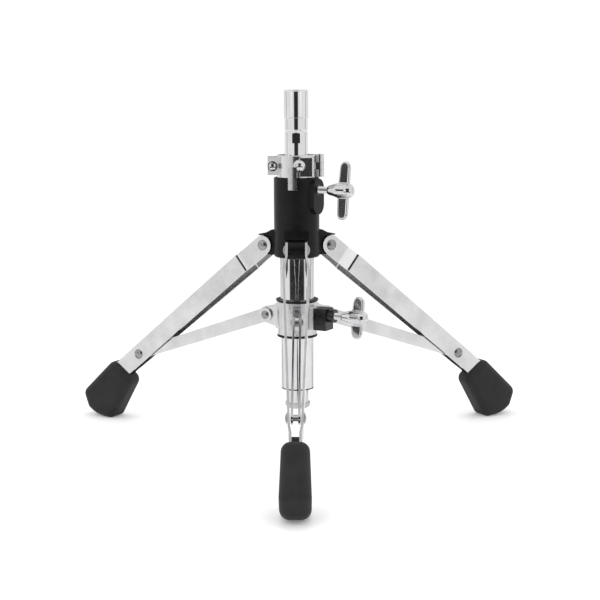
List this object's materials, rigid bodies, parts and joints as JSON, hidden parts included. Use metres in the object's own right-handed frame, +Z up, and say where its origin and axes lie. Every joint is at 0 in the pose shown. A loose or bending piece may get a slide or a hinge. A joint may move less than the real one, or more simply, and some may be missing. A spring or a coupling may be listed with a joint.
{
  "type": "double-braced tripod base for drum hardware",
  "caption": "Low folding tripod base: a sliding centre post with a memory lock in a black collar, twin-bar braced legs on rubber feet, and wing screws.",
  "frame": {"origin": "floor level under the middle of the footprint's bounding box; the post's axis stands 71.4 mm behind it (+Y)", "axes": "+Z up along the post, +X to the right between the two rear feet, -Y towards the front leg"},
  "size_m": [0.5382, 0.4688, 0.4036],
  "materials": {
    "chrome_tube": "mirror-polished chrome on steel tube",
    "chrome_plate": "chrome on flat steel bar, faintly brushed under the plate",
    "chrome_cast": "chrome on a zinc casting",
    "chrome_wing": "chrome on a zinc casting",
    "chrome_small": "chrome-plated small steel parts",
    "black_collar": "satin black powder coat on an aluminium casting",
    "white_nylon": "natural nylon",
    "grey_cap": "light grey moulded plastic",
    "black_plastic": "black moulded nylon",
    "rubber_foot": "charcoal moulded rubber, fine grain"
  },
  "bodies": {
    "base": {"main_tube": "chrome_tube", "leg_collar": "black_collar", "post_bushing": "white_nylon", "lower_guide": "white_nylon", "tube_end_ring": "black_plastic", "upper_insert": "chrome_small", "front_hip_rivet": "chrome_small", "right_hip_rivet": "chrome_small", "left_hip_rivet": "chrome_small"},
    "post": {"post": "chrome_tube", "seat_spigot": "chrome_tube", "post_end_cap": "grey_cap"},
    "memory_lock": {"lock_rear_half": "chrome_cast", "lock_hinge_pin": "chrome_small"},
    "lock_front": {"lock_front_half": "chrome_cast", "lock_washer": "chrome_small"},
    "key_screw": {"lock_key_screw": "chrome_small"},
    "upper_pad": {"upper_clamp_pad": "black_plastic"},
    "upper_wing": {"upper_wing_screw": "chrome_wing"},
    "lower_collar": {"lower_collar": "chrome_cast", "collar_bush_top": "black_plastic", "collar_bush_bottom": "black_plastic", "screw_block": "black_plastic", "lower_insert": "chrome_small", "front_lug_rivet": "chrome_small", "right_lug_rivet": "chrome_small", "left_lug_rivet": "chrome_small"},
    "lower_pad": {"lower_clamp_pad": "black_plastic"},
    "lower_wing": {"lower_wing_screw": "chrome_wing"},
    "front_leg": {"front_leg_bar_left": "chrome_plate", "front_leg_bar_right": "chrome_plate", "front_knee_rivets": "chrome_small", "front_tip_block": "black_plastic", "front_foot": "rubber_foot"},
    "front_brace": {"front_brace_plate_left": "chrome_plate", "front_brace_plate_right": "chrome_plate", "front_knee_bush": "chrome_small"},
    "right_leg": {"right_leg_bar_left": "chrome_plate", "right_leg_bar_right": "chrome_plate", "right_knee_rivets": "chrome_small", "right_tip_block": "black_plastic", "right_foot": "rubber_foot"},
    "right_brace": {"right_brace_plate_left": "chrome_plate", "right_brace_plate_right": "chrome_plate", "right_knee_bush": "chrome_small"},
    "left_leg": {"left_leg_bar_left": "chrome_plate", "left_leg_bar_right": "chrome_plate", "left_knee_rivets": "chrome_small", "left_tip_block": "black_plastic", "left_foot": "rubber_foot"},
    "left_brace": {"left_brace_plate_left": "chrome_plate", "left_brace_plate_right": "chrome_plate", "left_knee_bush": "chrome_small"}
  },
  "joints": [
    {"name": "post_slide", "type": "slide", "parent": "base", "child": "post", "axis": [0, 0, 1], "range_m": [0, 0.15]},
    {"name": "lock_slide", "type": "slide", "parent": "post", "child": "memory_lock", "axis": [0, 0, 1], "range_m": [0, 0.04]},
    {"name": "lock_open", "type": "hinge", "parent": "memory_lock", "child": "lock_front", "pos_m": [0.026, 0.0714, 0.3195], "axis": [0, 0, 1], "range_deg": [0, 0.87]},
    {"name": "key_screw_turn", "type": "hinge", "parent": "lock_front", "child": "key_screw", "pos_m": [-0.0265, 0.0714, 0.3195], "axis": [0, -1, 0], "range_deg": [0, 360]},
    {"name": "upper_pad_slide", "type": "slide", "parent": "base", "child": "upper_pad", "axis": [0.866, -0.5, 0], "range_m": [0, 0.00218]},
    {"name": "upper_wing_turn", "type": "hinge", "parent": "upper_pad", "child": "upper_wing", "pos_m": [0.05239, 0.04115, 0.2935], "axis": [0.866, -0.5, 0], "range_deg": [0, 630]},
    {"name": "collar_slide", "type": "slide", "parent": "base", "child": "lower_collar", "axis": [0, 0, 1], "range_m": [0, 0.03993]},
    {"name": "lower_pad_slide", "type": "slide", "parent": "lower_collar", "child": "lower_pad", "axis": [0.866, -0.5, 0], "range_m": [0, 0.00218]},
    {"name": "lower_wing_turn", "type": "hinge", "parent": "lower_pad", "child": "lower_wing", "pos_m": [0.06755, 0.0324, 0.1525], "axis": [0.866, -0.5, 0], "range_deg": [0, 630]},
    {"name": "front_leg_fold", "type": "hinge", "parent": "base", "child": "front_leg", "pos_m": [0, 0.0329, 0.229], "axis": [1, 0, 0], "range_deg": [0, 43.61]},
    {"name": "front_brace_fold", "type": "hinge", "parent": "lower_collar", "child": "front_brace", "pos_m": [0, 0.0312, 0.1475], "axis": [1, 0, 0], "range_deg": [0, 61.54]},
    {"name": "right_leg_fold", "type": "hinge", "parent": "base", "child": "right_leg", "pos_m": [0.03334, 0.09065, 0.229], "axis": [-0.5, 0.866, 0], "range_deg": [0, 43.61]},
    {"name": "right_brace_fold", "type": "hinge", "parent": "lower_collar", "child": "right_brace", "pos_m": [0.03481, 0.0915, 0.1475], "axis": [-0.5, 0.866, 0], "range_deg": [0, 61.54]},
    {"name": "left_leg_fold", "type": "hinge", "parent": "base", "child": "left_leg", "pos_m": [-0.03334, 0.09065, 0.229], "axis": [-0.5, -0.866, 0], "range_deg": [0, 43.61]},
    {"name": "left_brace_fold", "type": "hinge", "parent": "lower_collar", "child": "left_brace", "pos_m": [-0.03481, 0.0915, 0.1475], "axis": [-0.5, -0.866, 0], "range_deg": [0, 61.54]}
  ],
  "couplings": [
    {"joint": "key_screw_turn", "follows": "lock_open", "ratio": 412.33},
    {"joint": "upper_wing_turn", "follows": "upper_pad_slide", "rad_per_m": 5026.6},
    {"joint": "lower_wing_turn", "follows": "lower_pad_slide", "rad_per_m": 5026.6},
    {"joint": "front_leg_fold", "follows": "collar_slide", "rad_per_m": 19.057},
    {"joint": "front_brace_fold", "follows": "collar_slide", "rad_per_m": 26.893},
    {"joint": "right_leg_fold", "follows": "collar_slide", "rad_per_m": 19.057},
    {"joint": "right_brace_fold", "follows": "collar_slide", "rad_per_m": 26.893},
    {"joint": "left_leg_fold", "follows": "collar_slide", "rad_per_m": 19.057},
    {"joint": "left_brace_fold", "follows": "collar_slide", "rad_per_m": 26.893}
  ]
}
